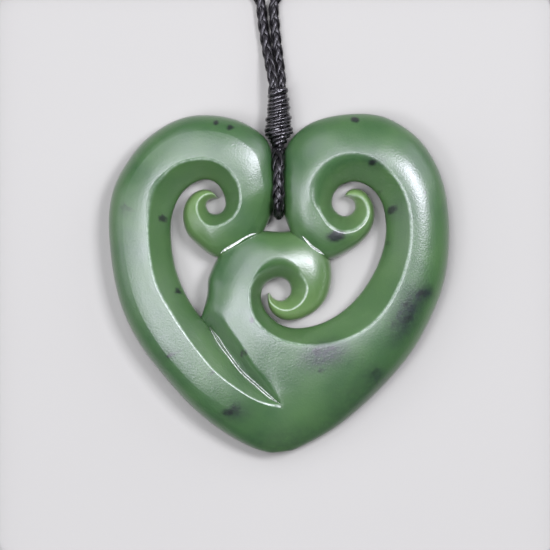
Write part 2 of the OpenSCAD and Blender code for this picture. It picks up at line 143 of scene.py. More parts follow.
# From the seam along the left side of the heart to the tip of the left spiral.
LEFT_ROWS = (
    (-16, -107, -23, -115.6, -27, -163.5, 9, 0.25, 0, 0.71, 0.45),
    (-32.3, -93, -42.4, -103.8, -60, -145, 9, 0.25, 0, 0.6, 0.3),
    (-47, -75.6, -61.6, -89.2, -88.5, -121.5, 9, 0.25, 0, 0.53, 0.16),
    (-59.4, -59.6, -77.6, -71.4, -111.5, -96.2, 9, 0.25, 0, 0.49, 0.06),
    (-70.2, -44.2, -91.4, -53.2, -131.4, -71.5, 9, 0.25, 0, 0.46, 0),
    (-80.4, -30.4, -103.6, -34.8, -147.4, -45.6),
    (-91.4, -14, -114.6, -16.8, -159.4, -16.5),
    (-100.4, 6.5, -123.2, 1.6, -166.4, 16),
    (-105.4, 24.5, -128.4, 24.5, -169.6, 45.5),
    (-108.2, 46.5, -130.8, 50.5, -170, 69.5),
    (-107.8, 63.5, -129.8, 75, -166.2, 92.5, 9, 0.6),
    (-104.2, 78, -125.2, 95, -158, 111.5, 9, 0.7),
    (-97.8, 90, -115.6, 107.8, -141.5, 136, 9, 0.5),
    (-89.8, 97.8, -102.8, 118.4, -120, 154.5, 9, 0.35),
    (-81.6, 102.6, -88.4, 123.4, -95, 166.4),
    (-73.6, 104.4, -74.2, 124.6, -69.5, 168.8),
    (-66.4, 103, -61.4, 121.4, -46.2, 165.2),
    (-60.4, 98.6, -51, 114.2, -27, 156.6, 8.9, 0.4, 0.15),
    (-56.4, 92.4, -43.4, 104.2, -12.2, 143.4, 8.8, 0.4, 0.32),
    (-54.4, 87, -39.8, 95.4, -6.4, 126, 8.7, 0.4, 0.45),
    (-53.8, 83, -38.9, 88.6, -3.2, 110.5, 8.6, 0.4, 0.35),
    (-53.6, 79.6, -38.8, 82.6, -0.6, 96, 8.5, 0.4, 0.1),
    (-55.2, 74.8, -41.4, 73.2, -4.2, 80, 8.3, 0.4, -0.2),
    (-58.6, 71.4, -47, 65.6, -9, 66, 8.1, 0.4, -0.2),
    (-63, 70, -55, 60.2, -20.8, 45.4, 7.8),
    (-67.4, 70.6, -64.4, 57.2, -41, 31, 7.4),
    (-70.6, 73, -72.6, 58.8, -63, 26.5, 7),
    (-72.4, 76.4, -78.6, 64.6, -81, 39, 6.5),
    (-72.8, 79.6, -81.6, 71.4, -92, 51, 6),
    (-71.6, 82.6, -82, 78.6, -96.2, 67.5, 5.5),
    (-69, 84.6, -79, 85.2, -93.4, 81.2, 5),
    (-65.8, 85.6, -73.4, 89.2, -84.6, 91.6, 4.5),
    (-63, 85.8, -67.4, 90.2, -73.4, 94.8, 4),
    (-61.6, 85.6, -63.4, 88.6, -66, 91.4, 3.5),
    (-61, 85.4, -61.2, 86, -61.8, 86.4, 3),
)

# Where the spirals' tips close, on the grid.
RIGHT_TIP = (65, 88.2)
MIDDLE_TIP = (-10, -8.4)
LEFT_TIP = (-60.6, 85.7)

# Engraved lines: x, y on the grid, then the bottom's height and half width in millimetres.
LEFT_LINE = (
    (-64, 26, 4.9, 0.03), (-53.3, 34.5, 5.5, 0.05), (-44.4, 39.6, 5.9, 0.07),
    (-34.2, 46, 6.2, 0.02), (-25.2, 49.8, 5.9, 0.05), (-18.5, 51.2, 5, 0.02),
)
RIGHT_LINE = (
    (22.6, 48.5, 5.2, 0.01), (27.3, 43.6, 5.4, 0.01), (32.7, 37.7, 5.4, 0.03),
    (39.1, 33.2, 5.2, 0.07), (45.4, 29, 4.7, 0.09),
)
LONG_GROOVE = (
    (-69.5, -42.8, 3.8, 0.26), (-61.6, -54.6, 3.9, 0.24), (-55.5, -64, 4.0, 0.19),
    (-49.2, -72.5, 4.2, 0.13), (-43.2, -80.6, 4.4, 0.12), (-35.8, -89.2, 4.7, 0.12),
    (-26, -97.8, 4.9, 0.12), (-18, -105, 5.2, 0.11), (-9, -112.6, 6, 0.09), (1.5, -119.8, 7, 0.06),
)

# Dark inclusions in the stone: x, y on the grid, half length and half width in millimetres, the
# turn of the long way in degrees, and how dark it is.
SPECKS = (
    (-154, 77, 0.8, 0.45, 20, 0.57), (-149, 72, 0.6, 0.45, 60, 0.46), (-116, 65, 0.7, 0.55, 10, 1),
    (-63, 161, 0.5, 0.45, 0, 0.92), (-49, 156, 0.6, 0.45, 20, 1), (-68, 48, 0.5, 0.45, 0, 0.92),
    (76, 164, 0.7, 0.5, -20, 1), (93, 121, 0.8, 0.55, 30, 0.9), (113, 74, 0.9, 0.66, 40, 0.92),
    (109, 41, 0.5, 0.45, 0, 0.69), (57, 48, 1.5, 0.88, 10, 1), (145, 92, 0.5, 0.45, 70, 0.46),
    (-101, -7, 0.5, 0.45, 0, 1), (-111, -71, 0.6, 0.45, 50, 0.57), (-101, -68, 0.5, 0.45, 0, 0.57),
    (-67, -87, 0.5, 0.45, 0, 0.57), (-27, -36, 0.5, 0.45, 60, 0.8), (-36, -69, 0.9, 0.45, 35, 0.8),
    (-44, -126, 1.6, 0.88, 25, 0.42), (-54, -128, 1.8, 0.77, 10, 0.32),
    (101, 92, 0.6, 0.45, 0, 0.4), (38, -66, 1.1, 0.55, 20, 0.69),
    (52.5, -64.5, 0.9, 0.55, 0, 0.63), (42, -86, 0.8, 0.55, 30, 0.46),
    (95.6, -87.5, 0.8, 0.55, 60, 0.57), (126.4, -20.2, 0.6, 0.55, 0, 0.69),
    (114.8, -39.5, 0.6, 0.55, 0, 0.57), (128, -35.6, 1.3, 0.77, 40, 0.55),
    (141.8, -8.7, 0.7, 0.55, 0, 0.8), (-81, -76, 0.9, 0.45, 30, 0.46),
)
# The first two rows only make the bottom and the lower right faintly darker over a wide area.
CLOUDS = (
    (5, -160, 9, 3.6, 0, 0.42), (80, -118, 9, 5, 40, 0.45), (45, -70, 4.2, 2.2, 15, 0.95),
    (128, -30, 2.2, 5.2, -25, 1.0), (146, -9, 1.3, 1.0, 30, 0.9), (97, -92, 1.6, 1.6, 0, 0.45),
    (-42, -128, 3.6, 1.6, 15, 0.55), (-148, 74, 2.2, 1.8, 0, 0.4), (-112, -70, 2.0, 1.6, 30, 0.35),
    (96, 122, 2.4, 1.6, 0, 0.4), (115, 72, 2.0, 2.4, 0, 0.3), (58, 46, 2.6, 1.4, 0, 0.35),
)

# The cords' routes in millimetres, as the part has them. The loop turns down into the hole, and its
# back leg lies in the stone's recess. The neck strands reach a little way into the whipping.
WHIP_LOW = 25.6
WHIP_X = -0.1
WHIP_Z = 2.75
TURN_Y = 13.0
TURN_RADIUS = 2.95
BEHIND_Z = 1.05
LOOP_OVER = (
    (-0.1, 25.6, 3.5), (-0.1, 24.9, 3.5), (-0.1, 23.7, 5), (-0.1, 22.5, 6.35), (-0.1, 20.9, 6.95),
    (-0.1, 18.5, 7),
)

# How much wider than by rule the loop's plait is, by the length along it from the whipping.
LOOP_SWELLS = (
    (0, 1.38), (2.5, 1.36), (4.8, 1.2), (7, 1.03), (9, 1.22), (10.5, 1.26), (12.5, 1.1), (14, 0.96),
)

# The neck strands' ways out of the whipping and down to the table.
LEFT_LEAD = (
    (-1.05, 35.85, 3.45), (-1.05, 36.9, 3.45), (-1.05, 37.9, 3.45), (-1.45, 40, 2.75),
    (-1.9, 42.2, 1.9), (-2.4, 45, 1.15), (-3, 48.8, 1),
)
RIGHT_LEAD = (
    (0.4, 35.85, 1.95), (0.4, 36.9, 1.95), (0.4, 37.9, 1.95), (0.2, 40, 1.45), (-0.05, 42.2, 1.1),
    (-0.4, 45, 1), (-0.8, 48.8, 1),
)

# The whipping's radius at a height above its lower end.
WHIP_OUTLINE = (
    (0, 1.25), (0.75, 1.4), (1.5, 1.75), (2.0, 2.1), (2.6, 2.6), (3.3, 2.78), (4.4, 2.62),
    (5.5, 2.52), (6.6, 2.42), (7.6, 2.26), (8.6, 2.2), (9.6, 2.05), (10.5, 1.95), (11.3, 1.8),
)

# How thick the wound thread is at a height above the whipping's lower end.
WHIP_THREAD = (
    (0, 0.85), (1.6, 0.9), (2.3, 0.62), (2.8, 0.6), (3.2, 0.85), (3.7, 0.85), (4.1, 0.62),
    (7, 0.68), (9, 0.78), (11.3, 0.92),
)


def linear(code: str) -> tuple[float, float, float, float]:
    """Turns an sRGB hex colour to the linear one that Blender works in.

    Args:
        code: The colour as six hex digits, such as "3f6b45".

    Returns:
        Red, green, blue and an alpha of 1.
    """
    parts = [int(code[i:i + 2], 16) / 255 for i in (0, 2, 4)]
    red, green, blue = (p / 12.92 if p <= 0.04045 else ((p + 0.055) / 1.055) ** 2.4 for p in parts)
    return red, green, blue, 1.0


def add_node(
    tree: bpy.types.NodeTree,
    kind: str,
    inputs: dict[str | int, object] | None = None,
    **settings: object,
) -> bpy.types.Node:
    """Adds a node with its settings, values and links.

    Args:
        tree: The tree that the node goes into.
        kind: The node's type, such as "ShaderNodeTexNoise".
        inputs: For each input's name or number a value, an output socket to link, or a node
            whose first output is linked.
        settings: The node's own properties.

    Returns:
        The new node.
    """
    node = tree.nodes.new(kind)
    for name, value in settings.items():
        setattr(node, name, value)
    for name, value in (inputs or {}).items():
        if isinstance(value, bpy.types.Node):
            value = value.outputs[0]
        if isinstance(value, bpy.types.NodeSocket):
            tree.links.new(value, node.inputs[name])
        else:
            node.inputs[name].default_value = value
    return node


def smooth_rows(rows: Sequence[Sequence[float]], steps: int) -> list[list[float]]:
    """Draws a curve through whole rows at once, whose bend doesn't break at a row.

    Args:
        rows: The rows, with a row more at each end that only gives the direction.
        steps: Parts between two rows.

    Returns:
        The rows of the curve, without the two end rows.
    """
    pulls = [list(row) for row in rows]
    for _ in range(5):
        pulls[1:-1] = [
            [p + q - (a + 4 * p + b) / 6 for a, p, b, q in zip(before, here, after, row)]
            for before, here, after, row in zip(pulls, pulls[1:], pulls[2:], rows[1:])
        ]
    found = []
    for a, b, c, d in zip(pulls, pulls[1:], pulls[2:], pulls[3:]):
        for k in range(steps):
            f = k / steps
            shares = (
                (1 - f) ** 3, 3 * f ** 3 - 6 * f ** 2 + 4, 3 * (f + f ** 2 - f ** 3) + 1, f ** 3,
            )
            columns = zip(a, b, c, d)
            found.append([sum(w * v for w, v in zip(shares, column)) / 6 for column in columns])
    return [list(rows[1]), *found[1:], list(rows[-2])]


def beyond(rows: Sequence[Sequence[float]]) -> list[float]:
    """The row that would follow the last one in a straight line."""
    return [2 * a - b for a, b in zip(rows[-1], rows[-2])]


def soft_min(a: float, b: float, width: float) -> float:
    """The smaller of two heights, with the corner between them rounded over a width."""
    near = max(width - abs(a - b), 0) / width
    return min(a, b) - near * near * width / 4


def bend(a: Vector, corner: Vector, b: Vector, parts: int) -> list[Vector]:
    """Points of the smooth bend from a to b whose tangents meet in a corner."""
    shares = [k / parts for k in range(parts + 1)]
    return [a * (1 - t) ** 2 + corner * (2 * t * (1 - t)) + b * t * t for t in shares]


def read(rows: Sequence[tuple[float, float]], place: float, eased: bool = False) -> float:
    """Reads a value between the rows of a table.

    Args:
        rows: Places, and the values there.
        place: Where it is read.
        eased: Whether the value levels out at each row.

    Returns:
        The value, which past the table is the last row's.
    """
    for (a, low), (b, high) in zip(rows, rows[1:]):
        if place <= b:
            f = max(0.0, place - a) / (b - a)
            return low + (high - low) * (f * f * (3 - 2 * f) if eased else f)
    return rows[-1][1]


def heading(line: Sequence[Vector], k: int) -> Vector:
    """Which way a line runs at the point with this number."""
    return (line[min(k + 1, len(line) - 1)] - line[max(k - 1, 0)]).normalized()


def length_of(line: Sequence[Vector]) -> float:
    """How long a line through points is."""
    return sum((b - a).length for a, b in zip(line, line[1:]))


def oval(middle: Vector, wide: Vector, thick: Vector, sides: int) -> list[Vector]:
    """The points of an oval round a middle, from its half width and half thickness."""
    angles = [math.tau * k / sides for k in range(sides)]
    return [middle + wide * math.cos(a) + thick * math.sin(a) for a in angles]


def skin(
    bm: bmesh.types.BMesh,
    rings: Sequence[Sequence[Vector]],
    length: float = 1.0,
    second: range = range(0),
) -> None:
    """Bends a grid into a closed skin through rings of points, with its ends filled.

    Args:
        bm: The mesh that it is added to.
        rings: The rings, each with the same number of points.
        length: What the second UV coordinate reaches at the far end.
        second: Which sides of the rings take the second material.
    """
    around = len(rings[0])
    uv = bm.loops.layers.uv.verify()
    made = bmesh.ops.create_grid(
        bm, x_segments=around, y_segments=len(rings) - 1, size=1, calc_uvs=True
    )["verts"]
    for k, vert in enumerate(made):
        vert.co = rings[k // (around + 1)][k % (around + 1) % around]
    faces = {f for vert in made for f in vert.link_faces}
    for face in faces:
        face.smooth = True
        side = sum(loop[uv].uv.x for loop in face.loops) / len(face.loops) * around
        face.material_index = 1 if int(side) in second else 0
        for loop in face.loops:
            loop[uv].uv.y *= length
    bmesh.ops.remove_doubles(bm, verts=made, dist=1e-9)
    rim = [e for e in bm.edges if e.is_boundary]
    bmesh.ops.holes_fill(bm, edges=rim, sides=0)


def as_object(
    bm: bmesh.types.BMesh, name: str, material: bpy.types.Material,
) -> bpy.types.Object:
    """Turns a bmesh into an object at the origin, with its faces outwards.

    Args:
        bm: The mesh, which is freed.
        name: The new object's name.
        material: Its finish.

    Returns:
        The object, linked to the scene.
    """
    bmesh.ops.recalc_face_normals(bm, faces=bm.faces)
    mesh = bpy.data.meshes.new(name)
    bm.to_mesh(mesh)
    bm.free()
    mesh.materials.append(material)
    made = bpy.data.objects.new(name, mesh)
    bpy.context.scene.collection.objects.link(made)
    return made


class Join(Enum):
    """How one closed mesh is joined with another."""

    UNION = "UNION"
    CUT = "DIFFERENCE"


def join(body: bpy.types.Object, tool: bpy.types.Object, how: Join) -> None:
    """Joins a closed mesh into another one, or cuts it away, and removes it.

    Args:
        body: The object that is changed.
        tool: The object that is joined or cut away.
        how: Which of the two.
    """
    modifier = body.modifiers.new(how.name, "BOOLEAN")
    modifier.operation = how.value
    modifier.object = tool
    modifier.solver = "MANIFOLD"
    modifier.material_mode = "TRANSFER"
    graph = bpy.context.evaluated_depsgraph_get()
    mesh = bpy.data.meshes.new_from_object(body.evaluated_get(graph))
    body.modifiers.clear()
    old, body.data = body.data, mesh
    mesh.name = body.name
    bpy.data.meshes.remove(old)
    bpy.data.objects.remove(tool)


@dataclass(frozen=True)
class Finish:
    """What every finish does: it makes a material whose nodes are its own."""

    name: str

    def surface(self, add: Callable[..., bpy.types.Node]) -> bpy.types.Node:
        """Builds the shader's nodes and gives the shader."""
        raise NotImplementedError

    def material(self) -> bpy.types.Material:
        """Builds the finish.

        Returns:
            The new material, named for the real one.
        """
        made = bpy.data.materials.new(self.name)
        made.use_nodes = True
        made.node_tree.nodes.clear()
        add = partial(add_node, made.node_tree)
        add("ShaderNodeOutputMaterial", {"Surface": self.surface(add)})
        return made


@dataclass(frozen=True)
class Nephrite(Finish):
    """Green jade, carved and satin-polished: waxy broad highlights, a painted glow where it is
    thinner.

    The polishing grit's lines are about 0.05 mm apart, too fine to show, so they are drawn coarser.
    """

    name: str = "polished_nephrite"
    body: str = "3f6135"
    deep: str = "325430"
    # Painted light: a paler colour where the stone is thinner stands in for light let through it.
    thin_glow: str = "6e8c52"
    # Painted highlight: a pale colour along the sharp ridges.
    edge: str = "b4c6b2"
    speck: str = "15201a"
    cloud: str = "1d2a25"
    roughness: float = 0.32
    spread: tuple[float, float] = (-0.04, 0.05)
    ior: float = 1.61
    wax_and_sheen: float = 0.7
    wax_roughness: float = 0.36
    wax_ior: float = 1.44
    cloudiness: float = 9 * MM
    chip: float = 1.1 * MM
    satin: float = 0.37 * MM
    satin_relief: float = 0.28
    satin_depth: float = 0.1 * MM
    light_share: float = 0.25
    light_spread: tuple[float, float, float] = (0.6, 1.0, 0.45)
    light_depth: float = 1.6 * MM

    def surface(self, add: Callable[..., bpy.types.Node]) -> bpy.types.Node:
        """Builds the stone's shader from its own noise and what is painted on its mesh.

        Args:
            add: Adds a node to the material.

        Returns:
            The shader.
        """
        place = add("ShaderNodeTexCoord").outputs["Object"]
        mottle = add("ShaderNodeTexNoise", {
            "Vector": place, "Scale": 1 / self.cloudiness, "Detail": 4, "Roughness": 0.6,
        })
        shade = add("ShaderNodeMix", {
            "Factor": add("ShaderNodeMapRange", {
                "Value": mottle, "From Min": 0.35, "From Max": 0.68,
            }),
            FIRST: linear(self.deep), SECOND: linear(self.body),
        }, data_type="RGBA")
        # A painted glow where the stone is thinner.
        thin_glow = add("ShaderNodeAttribute", attribute_name="thin_glow")
        lit = add("ShaderNodeMix", {
            "Factor": thin_glow.outputs["Fac"], FIRST: shade.outputs[MIXED], SECOND: linear(self.thin_glow),
        }, data_type="RGBA")
        grain = add("ShaderNodeTexNoise", {
            "Vector": place, "Scale": 1 / self.chip, "Detail": 5, "Roughness": 0.7,
        })
        # A painted highlight along the ridges, broken up by the grain.
        edge = add("ShaderNodeAttribute", attribute_name="edge")
        chips_and_glints = add("ShaderNodeMapRange", {
            "Value": grain, "From Min": 0.42, "From Max": 0.58, "To Min": 0.25, "To Max": 0.6,
        })
        ridge_highlight = add("ShaderNodeMath", {
            0: edge.outputs["Fac"], 1: chips_and_glints,
        }, operation="MULTIPLY")
        colour = add("ShaderNodeMix", {
            "Factor": ridge_highlight, FIRST: lit.outputs[MIXED], SECOND: linear(self.edge),
        }, data_type="RGBA")
        for name, dark, scale, low, high in (
            ("cloud", self.cloud, 1.6, 0.08, 0.8), ("speck", self.speck, 2.2, 0.2, 0.62),
        ):
            painted = add("ShaderNodeAttribute", attribute_name=name)
            rough = add("ShaderNodeMath", {0: grain, 1: scale}, operation="MULTIPLY")
            ragged = add("ShaderNodeMath", {
                0: painted.outputs["Fac"], 1: rough,
            }, operation="MULTIPLY")
            colour = add("ShaderNodeMix", {
                "Factor": add("ShaderNodeMapRange", {
                    "Value": ragged, "From Min": low, "From Max": high,
                }),
                FIRST: colour.outputs[MIXED], SECOND: linear(dark),
            }, data_type="RGBA")
        fine = add("ShaderNodeTexNoise", {
            "Vector": place, "Scale": 1 / self.satin, "Detail": 2, "Roughness": 0.5,
        })
        gloss = add("ShaderNodeMapRange", {
            "Value": mottle, "From Min": 0.3, "From Max": 0.7,
            "To Min": self.roughness + self.spread[0], "To Max": self.roughness + self.spread[1],
        })
        bump = add("ShaderNodeBump", {
            "Height": fine, "Strength": self.satin_relief, "Distance": self.satin_depth,
        })
        return add("ShaderNodeBsdfPrincipled", {
            "Base Color": colour.outputs[MIXED],
            "Roughness": gloss,
            "Normal": bump,
            "IOR": self.ior,
            "Coat Weight": self.wax_and_sheen,
            "Coat Roughness": self.wax_roughness,
            "Coat IOR": self.wax_ior,
            "Coat Normal": bump,
            "Subsurface Weight": self.light_share,
            "Subsurface Radius": self.light_spread,
            "Subsurface Scale": self.light_depth,
        })


@dataclass(frozen=True)
class CutLine(Finish):
    """Nephrite where a wheel has scored it: paler from the cut's powder, with painted glints on its
    small walls.
    """

    name: str = "scored_nephrite"
    # Painted glints: this white is partly the cut's powder and partly light caught on the walls.
    powder_and_glint: str = "f0f5ee"
    stone: str = "5f7a58"
    roughness: float = 0.3
    ior: float = 1.61
    chip: float = 0.4 * MM
    chip_relief: float = 0.9
    chip_depth: float = 0.15 * MM

    def surface(self, add: Callable[..., bpy.types.Node]) -> bpy.types.Node:
        """Builds the scored stone's shader: chipped walls in white, partly the cut's powder and
        partly painted glints.

        Args:
            add: Adds a node to the material.

        Returns:
            The shader.
        """
        place = add("ShaderNodeTexCoord").outputs["Object"]
        chips_and_glints = add("ShaderNodeTexNoise", {
            "Vector": place, "Scale": 1 / self.chip, "Detail": 4,
        })
        bump = add("ShaderNodeBump", {
            "Height": chips_and_glints, "Strength": self.chip_relief, "Distance": self.chip_depth,
        })
        colour = add("ShaderNodeMix", {
            "Factor": add("ShaderNodeMapRange", {
                "Value": chips_and_glints, "From Min": 0.34, "From Max": 0.5,
            }),
            FIRST: linear(self.stone), SECOND: linear(self.powder_and_glint),
        }, data_type="RGBA")
        return add("ShaderNodeBsdfPrincipled", {
            "Base Color": colour.outputs[MIXED],
            "Roughness": self.roughness,
            "IOR": self.ior,
            "Normal": bump,
        })


@dataclass(frozen=True)
class WaxedThread(Finish):
    """Black waxed polyester: near black in the gaps as painted shade, with greyish waxy painted
    sheen on its high places.

    A thread has hundreds of filaments of 0.02 mm, too fine to show, so a few wide ones are drawn.
    """

    name: str = "waxed_thread"
    dark: str = "060506"
    # A greyish colour for the rubbed high places: partly the thread's own, partly a painted sheen.
    wax_and_sheen: str = "2a282b"
    roughness: float = 0.2
    ior: float = 1.45
    strands_around: int = 6
    lay: float = 1.4 * MM
    patch: float = 0.8 * MM
    relief: float = 0.8
    depth: float = 0.12 * MM
    gap_shade: float = 0.2
    crown_sheen: float = 0.95
    bare: float = 0.42
    bare_fade: float = 0.22
    coat: float = 0.8
    coat_roughness: float = 0.14
    coat_ior: float = 1.44

    def surface(self, add: Callable[..., bpy.types.Node]) -> bpy.types.Node:
        """Builds the thread's shader along its own UV map, with its filaments as fine ridges.

        Args:
            add: Adds a node to the material.

        Returns:
            The shader.
        """
        coords = add("ShaderNodeTexCoord")
        along = add("ShaderNodeMapping", {
            "Vector": coords.outputs["UV"], "Scale": (self.strands_around, 1 / self.lay, 1),
        })
        fibres = add("ShaderNodeTexNoise", {
            "Vector": along, "Scale": 1.0, "Detail": 4, "Roughness": 0.65,
        })
        patches = add("ShaderNodeTexNoise", {
            "Vector": coords.outputs["Object"], "Scale": 1 / self.patch, "Detail": 4,
            "Roughness": 0.6,
        })
        around = add("ShaderNodeSeparateXYZ", {"Vector": coords.outputs["UV"]})
        turn = add("ShaderNodeMath", {0: around, 1: math.tau}, operation="MULTIPLY")
        # Painted sheen on each strand's crown and painted shade towards its sides.
        crown_sheen = add("ShaderNodeMapRange", {
            "Value": add("ShaderNodeMath", {0: turn}, operation="SINE"),
            "From Min": self.gap_shade, "From Max": self.crown_sheen,
        })
        rubbed = add("ShaderNodeMapRange", {
            "Value": patches, "From Min": self.bare, "From Max": self.bare + self.bare_fade,
        })
        waxy_sheen = add("ShaderNodeMath", {0: crown_sheen, 1: rubbed}, operation="MULTIPLY")
        colour = add("ShaderNodeMix", {
            "Factor": waxy_sheen, FIRST: linear(self.dark), SECOND: linear(self.wax_and_sheen),
        }, data_type="RGBA")
        bump = add("ShaderNodeBump", {
            "Height": fibres, "Strength": self.relief, "Distance": self.depth,
        })
        return add("ShaderNodeBsdfPrincipled", {
            "Base Color": colour.outputs[MIXED],
            "Roughness": self.roughness,
            "IOR": self.ior,
            "Normal": bump,
            "Coat Weight": self.coat,
            "Coat Roughness": self.coat_roughness,
            "Coat IOR": self.coat_ior,
        })


@dataclass
class Carving:
    """The stone: a band from the right spiral round to the middle one, and the left limb."""

    stone: bpy.types.Material
    scored: bpy.types.Material
    crest: float = 9.0
    ridge_round: float = 0.4
    fullness: float = 2.15
    evening: float = 0.6
    short_run: float = 9 * MM
    long_run: float = 20 * MM
    side_share: float = 0.4
    edge_share: float = 0.45
    bevel_bend: float = 0.85
    back_round: float = 3 * MM
    back_chamfer: float = 0.3 * MM
    edge_round: float = 0.4 * MM
    most_round: float = 0.4
    most_soft: float = 0.45
    steps: int = 6
    foot_points: int = 3
    edge_parts: int = 3
    bevel_parts: int = 6
    ridge_parts: int = 6
    slope_parts: int = 60
    back_parts: int = 6
    split: int = 23
    tip_height: float = 0.6
    tip_rise: float = 0.1 * MM
    tip_size: float = 0.15
    flank_slope: float = 1.35
    flank_soft: float = 0.8 * MM
    flank_drop: float = 0.15 * MM
    groove_rows: int = 6
    lip: float = 0.2 * MM
    lip_top: float = 1.2
    lip_shape: Sequence[tuple[float, float]] = ((1.1, -0.2), (0.7, 0.15), (0.35, 0.5), (0, 1.1))
    floor_share: float = 0.75
    least_depth: float = 0.25 * MM
    most_drop: float = 0.4 * MM
    sky: float = 12 * MM
    line_steps: int = 8
    taper_rows: int = 9
    recess_radius: float = 1.15 * MM
    recess_sides: int = 32
    weld: float = 0.05 * MM
    ease: float = 0.5
    # Painted light: a highlight this many points either side of a ridge, and a glow where the crest
    # lies low, at least bevel_glow on the bevels.
    edge_reach: float = 2.5
    thin_crest: float = 8.0
    thin_range: float = 4.4
    bevel_glow: float = 0.1
    stain_reach: float = 3 * MM
    stain_fade: float = 0.8
    sharp_angle: float = math.radians(100)
    valley: list[Vector] = field(default_factory=list)

    def full(self, row: Sequence[float]) -> list[float]:
        """A row with the columns that most rows leave out."""
        usual = (self.crest, self.ridge_round, 0.0, self.edge_share, 0.0)
        return [*row, *usual[len(row) - 6:]]

    def share(self, k: float) -> float:
        """How far down the slope the point with this number lies."""
        return math.sin(math.radians(90 * k / self.slope_parts)) ** (2 / self.fullness)

    def bulge(self, row: Sequence[float]) -> float:
        """How full a section's slope is: a long one runs down more evenly than a short one.

        Args:
            row: The section's columns.

        Returns:
            The power of the slope's rounding.
        """
        run = math.dist(row[2:4], row[4:6]) * UNIT / (1 - max(0.0, row[10]))
        share = min(1.0, max(0.0, (run - self.short_run) / (self.long_run - self.short_run)))
        return self.fullness + row[8] - self.evening * share * share * (3 - 2 * share)

    def height(self, crest: float, share: float, bulge: float) -> float:
        """The slope's height where a share of it lies above."""
        fall = max(0.0, 1 - max(0.0, share) ** bulge)
        return crest * (self.side_share + (1 - self.side_share) * fall ** (1 / bulge))

    def flank(self, point: Vector) -> float:
        """The height that the stem's flank allows: it climbs from the groove's bottom.

        Args:
            point: A point of the slope; only its x and y count.

        Returns:
            The height there, far above the stone where no flank reaches.
        """
        best, found = math.inf, math.inf
        for a, b in zip(self.valley, self.valley[1:]):
            run = (b - a).xy
            t = min(1.0, max(0.0, (point.xy - a.xy).dot(run) / run.length_squared))
            low = a.lerp(b, t)
            away = point.xy - low.xy
            if away.length < best:
                best = away.length
                side = 1 if run.x * away.y - run.y * away.x < 0 or 0 < t < 1 and best < 1e-9 else -1
                found = low.z + best * (self.flank_slope if side > 0 else -1)
        return found

    def ring(self, row: Sequence[float], first: int, flanked: bool) -> list[Vector]:
        """One closed ring across a limb, from under its inner edge over the top and back.

        Args:
            row: The section's columns.
            first: The number of the slope's first point after the ridge.
            flanked: Whether the stem's flank cuts the slope.

        Returns:
            The ring's points.
        """
        inner, ridge, outer = (Vector((row[k], row[k + 1], 0)) * UNIT for k in (0, 2, 4))
        crest, soft, edge_share, start = row[6] * MM, row[7] * MM, row[9], max(0.0, row[10])
        bulge = self.bulge(row)
        top = self.height(crest, start, bulge)
        edge = top * edge_share
        side = crest * self.side_share
        bevel, slope = ridge - inner, outer - ridge
        width, run = max(bevel.length, 1e-6), max(slope.length, 1e-6)

        def on_bevel(f: float) -> Vector:
            """The bevel's point at a share of the way up."""
            return inner + bevel * f + Vector((0, 0, edge + (top - edge) * f ** self.bevel_bend))

        def on_slope(t: float) -> Vector:
            """The slope's point at a share of the way down.

            Args:
                t: The share, 0 at the ridge and 1 at the outer edge.

            Returns:
                The point.
            """
            point = ridge + slope * t
            z = self.height(crest, start + (1 - start) * t, bulge)
            if flanked:
                z = soft_min(z, max(self.flank(point), side), self.flank_soft)
            return Vector((point.x, point.y, z))

        across = outer - inner
        under = inner + across * min(self.back_chamfer / max(across.length, 1e-6), self.most_round)
        heel = min(self.back_chamfer, edge / 3)
        turn = min(self.edge_round, self.most_round * width, self.most_round * edge)
        turn_f = turn / width
        back = min(soft / width, self.most_soft)
        ahead = min(soft / run, self.most_round)
        points = [under, *(inner + Vector((0, 0, z)) for z in (heel, (edge - turn + heel) / 2))]
        foot = inner + Vector((0, 0, edge - turn))
        points += bend(foot, on_bevel(0), on_bevel(turn_f), self.edge_parts)
        for k in range(1, self.bevel_parts):
            points.append(on_bevel(turn_f + (1 - back - turn_f) * k / self.bevel_parts))
        points += bend(on_bevel(1 - back), on_bevel(1), on_slope(ahead), self.ridge_parts)
        for k in range(first, self.slope_parts + 1):
            t = (self.share(k) - start) / (1 - start)
            points.append(on_slope(ahead + (1 - ahead) * t))
        reach = min(self.back_round, run * self.most_soft)
        for k in range(1, self.back_parts + 1):
            angle = math.radians(90 * k / self.back_parts)
            point = outer - slope / run * reach * (1 - math.cos(angle))
            points.append(Vector((point.x, point.y, side * (1 - math.sin(angle)))))
        return points

    def close(self, rings: list[list[Vector]], tip: tuple[float, float]) -> list[list[Vector]]:
        """Ends a limb in a nearly closed ring at a spiral's tip.

        Args:
            rings: The limb's rings.
            tip: Where the tip is on the grid.

        Returns:
            The rings with the last one.
        """
        last = []
        for p in rings[-1]:
            end = Vector((tip[0] * UNIT, tip[1] * UNIT, p.z * self.tip_height + self.tip_rise))
            last.append(end.lerp(p, self.tip_size))
        return [*rings, last]

    def part_way(self, given: Sequence[float]) -> list[float]:
        """A section that starts part of the way down the slope of another.

        Args:
            given: The other section, as a table has it.

        Returns:
            The new section's row.
        """
        row = self.full(given)
        bulge = self.bulge(row)
        ridge, outer = Vector(row[2:4]), Vector(row[4:6])
        inner_share, ridge_share = self.share(self.split - 1), self.share(self.split)
        inner_xy, ridge_xy = ridge.lerp(outer, inner_share), ridge.lerp(outer, ridge_share)
        share = self.height(1, inner_share, bulge) / self.height(1, ridge_share, bulge)
        return [*inner_xy, *ridge_xy, *outer, row[6], row[7], 0.0, share, ridge_share]

    def left_sections(self) -> list[list[float]]:
        """The left limb's sections: it starts on the seam, part of the way down its slope.

        Returns:
            The rows of its sections.
        """
        rows = [self.part_way(SEAM), *(self.full(row) for row in LEFT_ROWS)]
        before = self.part_way(RIGHT_ROWS[-2])
        before[10] = rows[1][10]
        return smooth_rows([before, *rows, beyond(rows)], self.steps)

